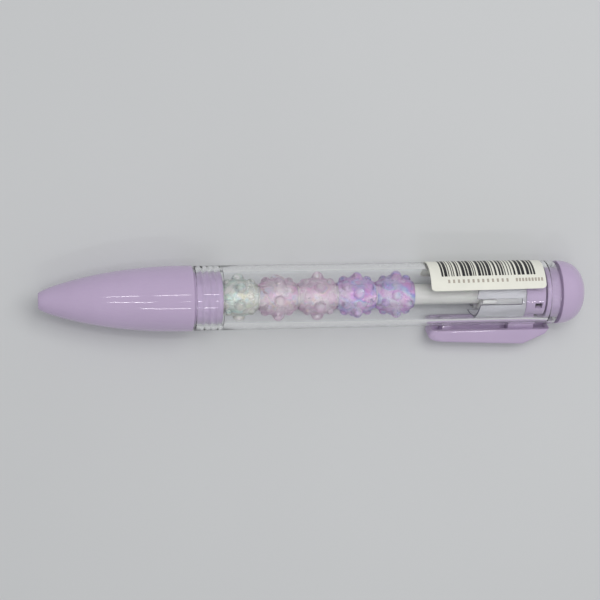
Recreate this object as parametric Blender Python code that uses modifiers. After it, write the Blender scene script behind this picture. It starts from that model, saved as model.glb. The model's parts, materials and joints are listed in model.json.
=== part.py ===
"""Retractable gel pen with a clear bead-filled barrel, lying on its side.

Every piece is modelled in the pen's own frame: x runs along the axis from the nose's end
(x = 0) to the dome's end (x = LENGTH), and the clip points along -y. The empty pen_axis then
lays the pen down: the nose's base, the barrel and the clip's lower edge touch z = 0.
Sizes are in millimetres, and mm() turns them into metres.
"""

import math

import bmesh
import bpy
import mathutils

# Driving sizes of the shell
LENGTH = 160.0
NOSE_RADIUS = 9.45
BARREL_RADIUS = 9.33
BORE_RADIUS = 7.5
GAP = 0.3  # left between pieces that touch
ROUND = 40  # sides of a large turned piece
SMALL_ROUND = 20  # sides of a small one

# Nose and thread
NOSE_TIP_RADIUS = 2.3
NOSE_CURVE_LENGTH = 41.0
NOSE_CURVE_POWER = 0.83
NOSE_SHOULDER = 43.7
SPIGOT_END = 52.0
SPIGOT_RADIUS = 7.5
THREAD_PITCH = 1.8
THREAD_TURNS = 3.4
THREAD_START = 45.0
THREAD_HEIGHT = 0.4

# Barrel
BARREL_FRONT = NOSE_SHOULDER + 0.6
BARREL_REAR = 150.6
SOCKET_RADIUS = 8.2  # of the wider bore that takes the nose's spigot
PLUG_BASE = BARREL_REAR + 1.0
PLUG_FRONT = 147.2
STEP_START = 148.3
STEP_RADIUS = 8.4

# Click mechanism
SLEEVE_FRONT = 126.0
SLEEVE_REAR = 140.8
SLEEVE_RADIUS = 7.22
SLEEVE_BORE = 6.7
TEETH = 6
TOOTH_DEPTH = 1.6
TOOTH_STEP_ANGLE = math.radians(13.5)  # of the first step, measured from +z towards -y
SLOT_COUNT = 3
SLOT_WIDTH = 1.75
ROTOR_FRONT = 127.8
ROTOR_REAR = 140.8
ROTOR_RADIUS = 4.6
PIN_BORE = 1.2
THRUSTER_FRONT = 141.1
THRUSTER_REAR = 146.9
THRUSTER_RADIUS = 6.5
THRUSTER_BORE = 3.2
THRUSTER_POCKET = 5.3
TRAVEL = 6.0

# Refill
REFILL_RADIUS = 3.0
TUBE_FRONT = 25.4
TUBE_REAR = 133.0
TUBE_BORE = 2.2

# Writing tip
HOLDER_FRONT = 10.2
LIP = 1.7
BALL_X = 1.8
BALL_RADIUS = 0.35

# Beads
BEAD_COUNT = 5
BEAD_FIRST = 57.0
BEAD_PITCH = 11.45
BEAD_HALF_LENGTH = 5.55
BEAD_HOLE = 3.3
BEAD_RIM = 3.8
BEAD_BODY = 5.5
BUMP_RADIUS = 1.75
BUMP_TOP = 7.05
BUMPS_ROUND = 6
BUMP_ROW_OFFSET = 3.3
SIDE_BUMP_RADIUS = 1.4
BUMP_ROW_DROP = 1.4  # how much lower the side rows stand

# Clip, with heights measured from the pen's axis
CLIP_FREE_END = 113.6
CLIP_REAR_END = 150.3
CLIP_RIM = 10.5
CLIP_TOP_FREE = 14.4
CLIP_TOP_REAR = 15.55
CLIP_CHAMFER = 142.6  # where the rear chamfer starts
CLIP_HALF_WIDTH = 3.5
CLIP_EDGE = 1.0
CLIP_WALL = 1.2
CLIP_FLOOR = 1.4
NECK_FRONT = 141.7
LUG_FRONT = 138.0
LUG_REAR = 145.7
LUG_HALF_WIDTH = 1.4
SLOT_FRONT = 129.0

# Sticker
STICKER_FRONT = 112.1
STICKER_REAR = 146.4
STICKER_THICKNESS = 0.12
STICKER_LIFT = 0.08
STICKER_LOW_ANGLE = math.radians(6.7)  # from the top, away from the clip
STICKER_ARC = math.radians(133)

# Lying on its side: the clip's rounded lower corner is as low as the nose's base
REST_HEIGHT = NOSE_RADIUS
CORNER_REACH = math.hypot(CLIP_TOP_REAR - CLIP_EDGE, CLIP_HALF_WIDTH - CLIP_EDGE)
CORNER_ANGLE = math.atan2(CLIP_HALF_WIDTH - CLIP_EDGE, CLIP_TOP_REAR - CLIP_EDGE)
ROLL = math.asin((REST_HEIGHT - CLIP_EDGE) / CORNER_REACH) - CORNER_ANGLE
CLIP_REACH = CORNER_REACH * math.cos(ROLL - CORNER_ANGLE) + CLIP_EDGE
STICKER_REACH = BARREL_RADIUS + STICKER_LIFT + STICKER_THICKNESS
AXIS_Y = (CLIP_REACH - STICKER_REACH) / 2

# Colours and finishes: colour, roughness, metallic, transmission
FINISHES = {
    "lavender_plastic": ((0.42, 0.29, 0.55), 0.28, 0.0, 0.0),
    "clear_plastic": ((0.93, 0.94, 0.96), 0.05, 0.0, 1.0),
    "sleeve_plastic": ((0.86, 0.87, 0.92), 0.12, 0.0, 0.9),
    "bead_clear": ((0.95, 0.93, 0.98), 0.05, 0.0, 0.9),
    "bead_violet": ((0.62, 0.45, 0.90), 0.05, 0.0, 0.9),
    "cream_tube": ((0.80, 0.79, 0.72), 0.35, 0.0, 0.0),
    "white_plastic": ((0.85, 0.85, 0.83), 0.35, 0.0, 0.0),
    "ink": ((0.01, 0.01, 0.015), 0.3, 0.0, 0.0),
    "follower_grease": ((0.80, 0.72, 0.50), 0.2, 0.0, 0.5),
    "steel": ((0.70, 0.70, 0.72), 0.25, 1.0, 0.0),
    "sticker_paper": ((0.88, 0.85, 0.76), 0.6, 0.0, 0.0),
}


def mm(*values):
    """Millimetres to metres, as one number or a tuple."""
    metres = tuple(value / 1000 for value in values)
    return metres[0] if len(metres) == 1 else metres


def clear_scene():
    for obj in list(bpy.data.objects):
        bpy.data.objects.remove(obj)


def make_collection(name):
    collection = bpy.data.collections.new(name)
    bpy.context.scene.collection.children.link(collection)
    return collection


def make_material(name):
    colour, roughness, metallic, transmission = FINISHES[name]
    material = bpy.data.materials.new(name)
    material.use_nodes = True
    shader = material.node_tree.nodes["Principled BSDF"]
    shader.inputs["Base Color"].default_value = (*colour, 1)
    shader.inputs["Roughness"].default_value = roughness
    shader.inputs["Metallic"].default_value = metallic
    shader.inputs["Transmission Weight"].default_value = transmission
    return material


clear_scene()
PEN = make_collection("gel_pen")
CUTTERS = make_collection("cutters")
MATERIALS = {name: make_material(name) for name in FINISHES}
AXIS = bpy.data.objects.new("pen_axis", None)
AXIS.location = mm(-LENGTH / 2, AXIS_Y, REST_HEIGHT)
AXIS.rotation_euler = (ROLL, 0, 0)
PEN.objects.link(AXIS)


def add_part(name, mesh, finish, x=0.0):
    """A node of the pen, with its origin on the pen's axis."""
    part = bpy.data.objects.new(name, mesh)
    if not mesh.materials:
        mesh.materials.append(MATERIALS[finish])
    part.parent = AXIS
    part.location = mm(x, 0, 0)
    PEN.objects.link(part)
    return part


def add_cutter(name, mesh):
    cutter = bpy.data.objects.new(name, mesh)
    cutter.parent = AXIS
    cutter.hide_render = True
    cutter.display_type = "WIRE"
    CUTTERS.objects.link(cutter)
    return cutter


def smooth(mesh, angle=40):
    mesh.shade_smooth()
    mesh.set_sharp_from_angle(angle=math.radians(angle))


def boolean(part, other, operation="DIFFERENCE"):
    modifier = part.modifiers.new(other.name, "BOOLEAN")
    modifier.operation = operation
    modifier.object = other


def outline_edges(profile, closed):
    mesh = bpy.data.meshes.new("profile")
    count = len(profile)
    edges = [(i, (i + 1) % count) for i in range(count if closed else count - 1)]
    mesh.from_pydata([mm(x, r, 0) for x, r in profile], edges, [])
    return mesh


def turned(profile, steps=ROUND, closed=True):
    """A mesh turned about x from (x, radius) points: anticlockwise if closed, or from the front
    point on the axis, over the outside, to the rear one."""
    helper = bpy.data.objects.new("turning", outline_edges(profile, closed))
    CUTTERS.objects.link(helper)
    screw = helper.modifiers.new("Screw", "SCREW")
    screw.axis = "X"
    screw.steps = screw.render_steps = steps
    screw.use_merge_vertices = True
    screw.merge_threshold = 0.000001
    return baked(helper)


def baked(helper):
    """The helper's evaluated mesh with its faces turned outwards. The helper is removed."""
    bpy.context.view_layer.update()
    graph = bpy.context.evaluated_depsgraph_get()
    mesh = bpy.data.meshes.new_from_object(helper.evaluated_get(graph))
    bpy.data.objects.remove(helper)
    solid = bmesh.new()
    solid.from_mesh(mesh)
    bmesh.ops.remove_doubles(solid, verts=solid.verts, dist=0.000001)
    bmesh.ops.holes_fill(solid, edges=solid.edges)
    bmesh.ops.recalc_face_normals(solid, faces=solid.faces)
    solid.to_mesh(mesh)
    solid.free()
    smooth(mesh)
    return mesh


def helix(root, crest, start, steps=24):
    """A thread of blunt triangular section about x, from the root radius to the crest radius."""
    half = THREAD_PITCH * 0.42
    flat = THREAD_PITCH * 0.08
    section = [(start - half, root), (start + half, root)]
    section += [(start + flat, crest), (start - flat, crest)]
    helper = bpy.data.objects.new("thread", outline_edges(section, True))
    CUTTERS.objects.link(helper)
    screw = helper.modifiers.new("Screw", "SCREW")
    screw.axis = "X"
    screw.iterations = 1
    screw.screw_offset = mm(THREAD_PITCH * THREAD_TURNS)
    screw.angle = 2 * math.pi * THREAD_TURNS
    screw.steps = screw.render_steps = int(steps * THREAD_TURNS)
    return baked(helper)


def box(x, y, z):
    """A box mesh between the (low, high) limits given for each axis."""
    solid = bmesh.new()
    bmesh.ops.create_cube(solid, size=1)
    for vertex in solid.verts:
        ends = zip(vertex.co, (x, y, z))
        vertex.co = mm(*(low + (high - low) * (side + 0.5) for side, (low, high) in ends))
    mesh = bpy.data.meshes.new("box")
    solid.to_mesh(mesh)
    solid.free()
    return mesh


def prism(outline, half_width):
    """The outline's (x, height) points made solid across the clip's width. Heights run along -y."""
    solid = bmesh.new()
    corners = [solid.verts.new(mm(x, -height, -half_width)) for x, height in outline]
    face = solid.faces.new(corners)
    swept = bmesh.ops.extrude_face_region(solid, geom=[face])
    moved = [item for item in swept["geom"] if isinstance(item, bmesh.types.BMVert)]
    bmesh.ops.translate(solid, verts=moved, vec=mm(0, 0, 2 * half_width))
    bmesh.ops.recalc_face_normals(solid, faces=solid.faces)
    mesh = bpy.data.meshes.new("prism")
    solid.to_mesh(mesh)
    solid.free()
    return mesh


def turned_to(mesh, angle):
    """The mesh turned about the pen's axis, from -y towards +z."""
    mesh.transform(mathutils.Matrix.Rotation(-angle, 4, "X"))
    return mesh


def clip_angle(world_angle):
    """An angle from world +z towards -y, as an angle from the clip's direction towards +z."""
    return math.pi / 2 + ROLL - world_angle


def nose_radius(x):
    rise = 1 - (1 - x / NOSE_CURVE_LENGTH) ** 2
    return NOSE_TIP_RADIUS + (NOSE_RADIUS - NOSE_TIP_RADIUS) * rise**NOSE_CURVE_POWER


def build_nose():
    stations = [0.6, 1.8, 3.5, 6.0, 9.0, 12.5, 16.5, 21.0, 27.0, 34.0, NOSE_CURVE_LENGTH]
    outside = [(0.0, NOSE_TIP_RADIUS)] + [(x, nose_radius(x)) for x in stations]
    outside += [(NOSE_SHOULDER, NOSE_RADIUS), (NOSE_SHOULDER, SPIGOT_RADIUS)]
    outside += [(SPIGOT_END, SPIGOT_RADIUS)]
    bore = [(SPIGOT_END, 5.4), (30.0, 5.4), (21.0, 3.25), (7.6, 3.25)]
    bore += [(7.6, 2.4), (4.6, 2.4), (3.2, 1.45), (0.0, 1.45)]
    nose = add_part("nose_cone", turned(outside + bore), "lavender_plastic")
    thread = helix(SPIGOT_RADIUS - 0.15, SPIGOT_RADIUS + THREAD_HEIGHT, THREAD_START)
    boolean(nose, add_cutter("male_thread", thread), "UNION")


def build_barrel():
    socket_end = SPIGOT_END + GAP
    profile = [(BARREL_FRONT, SOCKET_RADIUS), (BARREL_FRONT, BARREL_RADIUS)]
    profile += [(BARREL_REAR, BARREL_RADIUS), (BARREL_REAR, STEP_RADIUS)]
    profile += [(STEP_START, STEP_RADIUS), (STEP_START, BORE_RADIUS)]
    profile += [(socket_end, BORE_RADIUS), (socket_end, SOCKET_RADIUS)]
    barrel = add_part("barrel", turned(profile), "clear_plastic")
    thread = helix(SOCKET_RADIUS - 0.2, SOCKET_RADIUS + THREAD_HEIGHT, THREAD_START + 0.3)
    boolean(barrel, add_cutter("female_thread", thread))
    slot = box((SLOT_FRONT, LUG_REAR + 0.6), (-BARREL_RADIUS - 1, -6), (-1.7, 1.7))
    boolean(barrel, add_cutter("clip_slot", slot))


def build_end_plug():
    base = PLUG_BASE
    height = LENGTH - base
    power = 2.4
    profile = [(PLUG_FRONT, 5.4), (PLUG_FRONT, 7.2), (base, 7.2)]
    for step in range(9):
        turn = math.pi / 2 * step / 9
        x = base + height * math.sin(turn) ** (2 / power)
        profile.append((x, BARREL_RADIUS * math.cos(turn) ** (2 / power)))
    profile += [(LENGTH, 0), (LENGTH - 1.6, 0)]
    profile += [(LENGTH - 1.9, 4.6), (LENGTH - 4.5, 6.6), (base + 0.5, 5.4)]
    add_part("end_plug", turned(profile), "lavender_plastic")


def sleeve_slot(world_angle):
    """A cutter for one axial slot, whose upper wall is at the tooth's step."""
    half = SLOT_WIDTH / 2
    middle = world_angle + half / SLEEVE_RADIUS
    mesh = box((SLEEVE_FRONT - 1, 139.6), (-SLEEVE_RADIUS - 1, -5.5), (-half, half))
    return turned_to(mesh, clip_angle(middle))


def tooth_cutter():
    """The ring of ramps that leaves a sawtooth front edge: each ramp runs from a root to a tip."""
    solid = bmesh.new()
    slices = 4
    rings = []
    for tooth in range(TEETH):
        for step in range(slices + 1):
            share = step / slices
            world_angle = TOOTH_STEP_ANGLE + (tooth + share * 0.999) * 2 * math.pi / TEETH
            angle = clip_angle(world_angle)
            ramp_x = SLEEVE_FRONT + TOOTH_DEPTH * (1 - share)
            corners = ((SLEEVE_FRONT - 1, 6), (SLEEVE_FRONT - 1, 8), (ramp_x, 8), (ramp_x, 6))
            rings.append([
                solid.verts.new(mm(x, -r * math.cos(angle), r * math.sin(angle)))
                for x, r in corners
            ])
    for ring, following in zip(rings, rings[1:] + rings[:1]):
        for i in range(4):
            j = (i + 1) % 4
            solid.faces.new((ring[i], ring[j], following[j], following[i]))
    bmesh.ops.recalc_face_normals(solid, faces=solid.faces)
    mesh = bpy.data.meshes.new("teeth")
    solid.to_mesh(mesh)
    solid.free()
    return mesh


def build_cam_sleeve():
    profile = [(SLEEVE_FRONT, SLEEVE_BORE), (SLEEVE_FRONT, SLEEVE_RADIUS)]
    profile += [(SLEEVE_REAR, SLEEVE_RADIUS), (SLEEVE_REAR, SLEEVE_BORE)]
    sleeve = add_part("cam_sleeve", turned(profile, 48), "sleeve_plastic")
    boolean(sleeve, add_cutter("sleeve_teeth", tooth_cutter()))
    for index in range(SLOT_COUNT):
        world_angle = TOOTH_STEP_ANGLE + index * 2 * math.pi / SLOT_COUNT
        boolean(sleeve, add_cutter(f"sleeve_slot_{index + 1}", sleeve_slot(world_angle)))
    neck_way = box((NECK_FRONT - TRAVEL - 0.6, SLEEVE_REAR + 1), (-9, -5), (-1.25, 1.25))
    boolean(sleeve, add_cutter("neck_way", neck_way))


def build_cam_rotor():
    tube_stop = TUBE_REAR + GAP
    profile = [(ROTOR_FRONT, REFILL_RADIUS + GAP), (ROTOR_FRONT, ROTOR_RADIUS)]
    profile += [(ROTOR_REAR, ROTOR_RADIUS), (ROTOR_REAR, PIN_BORE)]
    profile += [(tube_stop, PIN_BORE), (tube_stop, REFILL_RADIUS + GAP)]
    rotor = add_part("cam_rotor", turned(profile, 32), "white_plastic")
    slot_middle = TOOTH_STEP_ANGLE + SLOT_WIDTH / 2 / SLEEVE_RADIUS
    for index in range(SLOT_COUNT):
        middle = slot_middle + index * 2 * math.pi / SLOT_COUNT
        rib = box((ROTOR_FRONT, 131.8), (-7.0, -ROTOR_RADIUS + 0.4), (-0.45, 0.45))
        rib = add_cutter(f"rotor_rib_{index + 1}", turned_to(rib, clip_angle(middle)))
        boolean(rotor, rib, "UNION")


def build_thruster():
    web_rear = THRUSTER_FRONT + 1.3
    profile = [(THRUSTER_FRONT, THRUSTER_BORE), (THRUSTER_FRONT, THRUSTER_RADIUS)]
    profile += [(THRUSTER_REAR, THRUSTER_RADIUS), (THRUSTER_REAR, THRUSTER_POCKET)]
    profile += [(web_rear, THRUSTER_POCKET), (web_rear, THRUSTER_BORE)]
    thruster = add_part("thruster", turned(profile, 32), "lavender_plastic")
    socket = box((NECK_FRONT - 0.3, THRUSTER_REAR + 1), (-8, -4.5), (-1.3, 1.3))
    boolean(thruster, add_cutter("neck_socket", socket))
    window = box((143.8, 145.9), (-8, -4.5), (-0.85, 0.85))
    window = turned_to(window, clip_angle(math.radians(36)))
    boolean(thruster, add_cutter("thruster_window", window))


def build_refill():
    profile = [(TUBE_FRONT, TUBE_BORE), (TUBE_FRONT, REFILL_RADIUS)]
    profile += [(TUBE_REAR, REFILL_RADIUS), (TUBE_REAR, TUBE_BORE)]
    add_part("refill_tube", turned(profile, 24), "cream_tube")
    ink = [(31.0, 0), (31.0, 1.9), (112.0, 1.9), (112.0, 0)]
    add_part("gel_ink", turned(ink, SMALL_ROUND, closed=False), "ink")
    follower = [(112.3, 0), (112.3, 1.9), (118.0, 1.9), (118.0, 0)]
    add_part("ink_follower", turned(follower, SMALL_ROUND, closed=False), "follower_grease")


def build_tip():
    flange = TUBE_FRONT - GAP
    holder = [(HOLDER_FRONT, 1.3), (HOLDER_FRONT, 1.7), (14.0, 1.95), (flange - 0.8, 1.95)]
    holder += [(flange - 0.8, 2.95), (flange, 2.95), (flange, 1.9), (30.5, 1.9), (30.5, 0.6)]
    holder += [(15.6, 0.6), (15.6, 1.3)]
    add_part("tip_holder", turned(holder, SMALL_ROUND), "white_plastic")
    shoulder = HOLDER_FRONT - GAP
    cone = [(LIP, 0.4), (LIP, 0.5), (5.6, 1.15), (shoulder, 1.15), (shoulder, 1.0)]
    cone += [(15.3, 1.0), (15.3, 0.2), (2.25, 0.2), (2.25, 0.4)]
    add_part("tip_cone", turned(cone, SMALL_ROUND), "steel")
    ball = bmesh.new()
    bmesh.ops.create_icosphere(ball, subdivisions=2, radius=mm(BALL_RADIUS))
    mesh = bpy.data.meshes.new("writing_ball")
    ball.to_mesh(mesh)
    ball.free()
    smooth(mesh, 80)
    add_part("writing_ball", mesh, "steel", BALL_X)


def spring_point(turn, turns, front, rear):
    """A point of the coil, whose first and last turns are closed up."""
    wire = 0.5
    share = min(max((turn - 1) / (turns - 2), 0), 1)
    closed = min(turn, 1) * wire + max(turn - turns + 1, 0) * wire
    x = front + closed + share * (rear - front - 2 * wire)
    return (*mm(x, 2.72 * math.cos(2 * math.pi * turn), 2.72 * math.sin(2 * math.pi * turn)), 1)


def build_spring():
    turns = 9
    per_turn = 10
    wire_radius = 0.2
    curve = bpy.data.curves.new("return_spring", "CURVE")
    curve.dimensions = "3D"
    curve.bevel_depth = mm(wire_radius)
    curve.bevel_resolution = 1
    curve.use_fill_caps = True
    spline = curve.splines.new("POLY")
    spline.points.add(turns * per_turn)
    for index, point in enumerate(spline.points):
        point.co = spring_point(index / per_turn, turns, 7.6 + GAP, TUBE_FRONT - GAP - 0.8 - GAP)
    spring = bpy.data.objects.new("return_spring", curve)
    curve.materials.append(MATERIALS["steel"])
    spring.parent = AXIS
    PEN.objects.link(spring)


def bead_radius(offset):
    return BEAD_RIM + (BEAD_BODY - BEAD_RIM) * (1 - (offset / BEAD_HALF_LENGTH) ** 2)


def bump_centres():
    """The (offset, angle, top, radius) of each bump: a middle row and two staggered side rows."""
    pitch = 2 * math.pi / BUMPS_ROUND
    side_top = BUMP_TOP - BUMP_ROW_DROP
    for index in range(BUMPS_ROUND):
        yield 0.0, index * pitch, BUMP_TOP, BUMP_RADIUS
        yield -BUMP_ROW_OFFSET, (index + 0.5) * pitch, side_top, SIDE_BUMP_RADIUS
        yield BUMP_ROW_OFFSET, (index + 0.5) * pitch, side_top, SIDE_BUMP_RADIUS


def bumpy_radius(offset, angle):
    """The bead's radius there: its body, or the nearest bump where that stands higher."""
    radius = bead_radius(offset)
    for centre, direction, top, size in bump_centres():
        turn = (angle - direction + math.pi) % (2 * math.pi) - math.pi
        across = turn * (top - size / 2)
        distance = math.hypot(offset - centre, across)
        if distance < size:
            height = math.sqrt(size**2 - distance**2)
            radius = max(radius, top - size + height)
    return radius


def build_beads():
    """One bead's mesh, shared by all: a ring of stations round the axis, closed by the hole."""
    around = BUMPS_ROUND * 6
    stations = [-1, -0.93, -0.8, -0.6, -0.4, -0.27, -0.13, 0, 0.13, 0.27, 0.4, 0.6, 0.8, 0.93, 1]
    solid = bmesh.new()
    rings = []
    for index in range(around):
        angle = 2 * math.pi * index / around
        points = [(share * BEAD_HALF_LENGTH, None) for share in stations]
        points += [(BEAD_HALF_LENGTH, BEAD_HOLE), (-BEAD_HALF_LENGTH, BEAD_HOLE)]
        ring = []
        for offset, radius in points:
            radius = radius or bumpy_radius(offset, angle)
            across, up = radius * math.cos(angle), radius * math.sin(angle)
            ring.append(solid.verts.new(mm(offset, across, up)))
        rings.append(ring)
    for ring, following in zip(rings, rings[1:] + rings[:1]):
        for i in range(len(ring)):
            j = (i + 1) % len(ring)
            solid.faces.new((ring[i], ring[j], following[j], following[i]))
    bmesh.ops.recalc_face_normals(solid, faces=solid.faces)
    mesh = bpy.data.meshes.new("bead")
    solid.to_mesh(mesh)
    solid.free()
    smooth(mesh, 60)
    for index in range(BEAD_COUNT):
        finish = "bead_violet" if index > 2 else "bead_clear"
        own = mesh.copy()
        add_part(f"bead_{index + 1}", own, finish, BEAD_FIRST + index * BEAD_PITCH)


def clip_outline():
    """The clip from the side: bulging free end, sloping outer face, chamfered rear end."""
    end = CLIP_FREE_END
    outline = [(end + 0.9, CLIP_RIM), (end + 0.2, 11.6), (end, 12.4), (end + 0.6, 13.4)]
    outline += [(end + 2.2, 14.15), (end + 4.6, CLIP_TOP_FREE), (CLIP_CHAMFER, CLIP_TOP_REAR)]
    outline += [(CLIP_REAR_END - 1.1, 12.3), (CLIP_REAR_END, CLIP_RIM)]
    return outline


def channel_outline():
    floor = CLIP_TOP_FREE - CLIP_FLOOR
    front = CLIP_FREE_END + 1.6
    rear = CLIP_REAR_END - CLIP_WALL
    return [(front, CLIP_RIM - 1), (front, CLIP_RIM + 1.0), (front + 2.4, floor),
            (CLIP_CHAMFER - 0.4, floor + 0.9), (rear, 10.9), (rear, CLIP_RIM - 1)]


def round_outer_edges(mesh):
    """Bevel weights on the clip's outer edges along its length."""
    weights = mesh.attributes.new("bevel_weight_edge", "FLOAT", "EDGE")
    for edge in mesh.edges:
        first, second = (mesh.vertices[index].co for index in edge.vertices)
        along = abs(first.z - second.z) < mm(0.1)
        outer = max(first.y, second.y) < -mm(CLIP_RIM + 0.2)
        if along and outer:
            weights.data[edge.index].value = 1


def build_clip():
    mesh = prism(clip_outline(), CLIP_HALF_WIDTH)
    round_outer_edges(mesh)
    clip = add_part("clip", mesh, "lavender_plastic")
    bevel = clip.modifiers.new("Bevel", "BEVEL")
    bevel.width = mm(CLIP_EDGE)
    bevel.segments = 3
    bevel.limit_method = "WEIGHT"
    bevel.use_clamp_overlap = False
    channel = prism(channel_outline(), CLIP_HALF_WIDTH - CLIP_WALL)
    boolean(clip, add_cutter("clip_channel", channel))
    floor = CLIP_TOP_FREE - CLIP_FLOOR + 0.5
    grip = [(117.3, floor), (118.2, 9.75), (120.4, 9.75), (121.4, floor)]
    boolean(clip, add_cutter("grip_bump", prism(grip, 1.5)), "UNION")
    lug = [(LUG_FRONT, floor + 1), (LUG_REAR, floor + 1), (LUG_REAR, 7.7), (LUG_FRONT, 7.7)]
    boolean(clip, add_cutter("lug", prism(lug, LUG_HALF_WIDTH)), "UNION")
    neck = [(NECK_FRONT, 8), (LUG_REAR - 0.4, 8), (LUG_REAR - 0.4, 5.7), (NECK_FRONT, 5.7)]
    boolean(clip, add_cutter("neck", prism(neck, 1.0)), "UNION")


def build_sticker():
    """A strip of the barrel's surface, thickened outwards."""
    columns = 14
    start = clip_angle(-STICKER_LOW_ANGLE)
    solid = bmesh.new()
    rows = []
    for index in range(columns + 1):
        angle = start + STICKER_ARC * index / columns
        radius = BARREL_RADIUS + STICKER_LIFT
        y, z = -radius * math.cos(angle), radius * math.sin(angle)
        rows.append([solid.verts.new(mm(x, y, z)) for x in (STICKER_FRONT, STICKER_REAR)])
    for row, following in zip(rows, rows[1:]):
        solid.faces.new((row[0], row[1], following[1], following[0]))
    mesh = bpy.data.meshes.new("sticker")
    solid.to_mesh(mesh)
    solid.free()
    smooth(mesh)
    sticker = add_part("barcode_sticker", mesh, "sticker_paper")
    thicken = sticker.modifiers.new("Solidify", "SOLIDIFY")
    thicken.thickness = mm(STICKER_THICKNESS)
    thicken.offset = 1


build_nose()
build_barrel()
build_end_plug()
build_cam_sleeve()
build_cam_rotor()
build_thruster()
build_refill()
build_tip()
build_spring()
build_beads()
build_clip()
build_sticker()
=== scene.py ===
"""Looks of a retractable gel pen with a clear, bead-filled barrel.

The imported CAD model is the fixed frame. Each visible piece is built here in the pen's own frame, in
millimetres: x runs along the axis from the nose's end to the dome's end, and the clip points along -y.
PEN turns that frame into the row frame, in metres.
"""

import json
import math
import random

import bmesh
import bpy
from mathutils import Matrix, Vector


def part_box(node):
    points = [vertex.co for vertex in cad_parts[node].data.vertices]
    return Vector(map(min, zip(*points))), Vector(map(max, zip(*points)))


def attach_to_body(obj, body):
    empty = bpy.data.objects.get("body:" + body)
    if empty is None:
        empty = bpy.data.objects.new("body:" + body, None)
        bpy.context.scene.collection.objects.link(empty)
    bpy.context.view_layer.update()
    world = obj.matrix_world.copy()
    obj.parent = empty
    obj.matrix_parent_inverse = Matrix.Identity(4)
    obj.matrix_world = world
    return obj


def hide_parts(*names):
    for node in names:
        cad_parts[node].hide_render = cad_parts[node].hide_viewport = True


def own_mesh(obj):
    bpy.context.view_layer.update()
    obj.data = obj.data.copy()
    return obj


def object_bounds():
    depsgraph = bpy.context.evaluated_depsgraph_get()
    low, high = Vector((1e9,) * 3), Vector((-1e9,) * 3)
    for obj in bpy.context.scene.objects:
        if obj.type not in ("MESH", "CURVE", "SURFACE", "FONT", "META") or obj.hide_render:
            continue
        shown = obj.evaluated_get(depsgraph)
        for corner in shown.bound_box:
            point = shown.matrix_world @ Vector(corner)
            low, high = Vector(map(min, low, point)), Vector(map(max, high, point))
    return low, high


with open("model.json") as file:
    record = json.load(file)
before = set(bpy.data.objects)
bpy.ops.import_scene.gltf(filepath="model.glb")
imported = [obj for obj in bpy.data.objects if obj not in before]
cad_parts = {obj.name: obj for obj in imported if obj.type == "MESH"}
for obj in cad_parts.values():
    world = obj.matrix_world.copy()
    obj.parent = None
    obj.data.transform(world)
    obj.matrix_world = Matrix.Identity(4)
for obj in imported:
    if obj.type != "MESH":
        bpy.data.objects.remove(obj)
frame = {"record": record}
CAD_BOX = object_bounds()

# ---------------------------------------------------------------- the pen's frame

MM = 0.001
nose_low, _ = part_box("nose_cone")
tube_low, tube_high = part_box("refill_tube")
clip_face = next(m for m in frame["record"]["mounts"] if m["name"] == "clip_outer_face")
FRONT_X = nose_low.x
AXIS_Y = (tube_low.y + tube_high.y) / 2
AXIS_Z = (tube_low.z + tube_high.z) / 2
ROLL = math.atan2(-clip_face["axis"][2], -clip_face["axis"][1])
PEN = Matrix.Translation((FRONT_X, AXIS_Y, AXIS_Z))
PEN = PEN @ Matrix.Rotation(ROLL, 4, "X") @ Matrix.Scale(MM, 4)


def span(node):
    """Where a CAD node starts and ends along the pen, in millimetres from the nose's end."""
    low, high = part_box(node)
    return (low.x - FRONT_X) / MM, (high.x - FRONT_X) / MM


# Sizes of the real pieces in millimetres. A pair is a start and an end along the pen.
NOSE_TIP_RADIUS = 2.3
NOSE_TIP_BORE = 1.45
NOSE_REFILL_BORE = 3.25
NOSE_CAVITY = 5.4
SPRING_SEAT = 7.6
NOSE_RADIUS = 9.45
NOSE_CURVE_LENGTH = 41.0
NOSE_CURVE_POWER = 0.83
NOSE_SHOULDER = 43.7
SPIGOT_RADIUS = 7.5
SOCKET_RADIUS = 8.2
THREAD_START = 45.2
THREAD_PITCH = 1.8
THREAD_STATION = 0.16
THREAD_FADE = 0.8
THREAD_DEPTH = 0.3
SOCKET_THREAD_DEPTH = 0.08
END_GROOVE = 1.0
BARREL_RADIUS = 9.33
BARREL_SLOT = (129.0, 146.3)
BARREL_SLOT_HALF_WIDTH = 1.7
BORE_RADIUS = 7.5
STEP_RADIUS = 8.4
STEP_START = 148.3
PLUG_SPIGOT_RADIUS = 7.2
PLUG_BORE = 5.4
DOME_POWER = 2.4
SLEEVE_RADIUS = 7.22
SLEEVE_BORE = 6.7
TEETH = 6
TOOTH_DEPTH = 1.6
TOOTH_STEP_ANGLE = math.radians(13.5)
TOOTH_BLEND_LENGTH = 4.0
SLEEVE_SLOTS = 3
SLOT_WIDTH = 1.75
SLOT_END = 139.6
CUTAWAY_START = 135.1
CUTAWAY_HALF_WIDTH = 1.25
ROTOR_RADIUS = 4.6
ROTOR_BORE = 1.2
RIB_END = 131.8
RIB_REACH = (-7.0, -4.2)
RIB_HALF_WIDTH = 0.45
THRUSTER_RADIUS = 6.5
THRUSTER_BORE = 3.2
THRUSTER_POCKET = 5.3
THRUSTER_WEB = 1.3
THRUSTER_SOCKET_HALF_WIDTH = 1.3
WINDOW = (143.8, 145.9)
WINDOW_HALF_WIDTH = 0.85
WINDOW_ANGLE = math.radians(36)
REFILL_RADIUS = 3.0
REFILL_BORE = 2.2
INK_RADIUS = 1.9
SPRING_WIRE_RADIUS = 0.2
SPRING_COIL_RADIUS = 2.72
BEAD_COUNT = 5
BEAD_HALF_LENGTH = 5.55
BEAD_HOLE = 3.3
BEAD_RIM = 3.8
BEAD_BODY = 5.5
BUMP_RADIUS = 1.75
BUMP_TOP = 7.1
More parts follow.
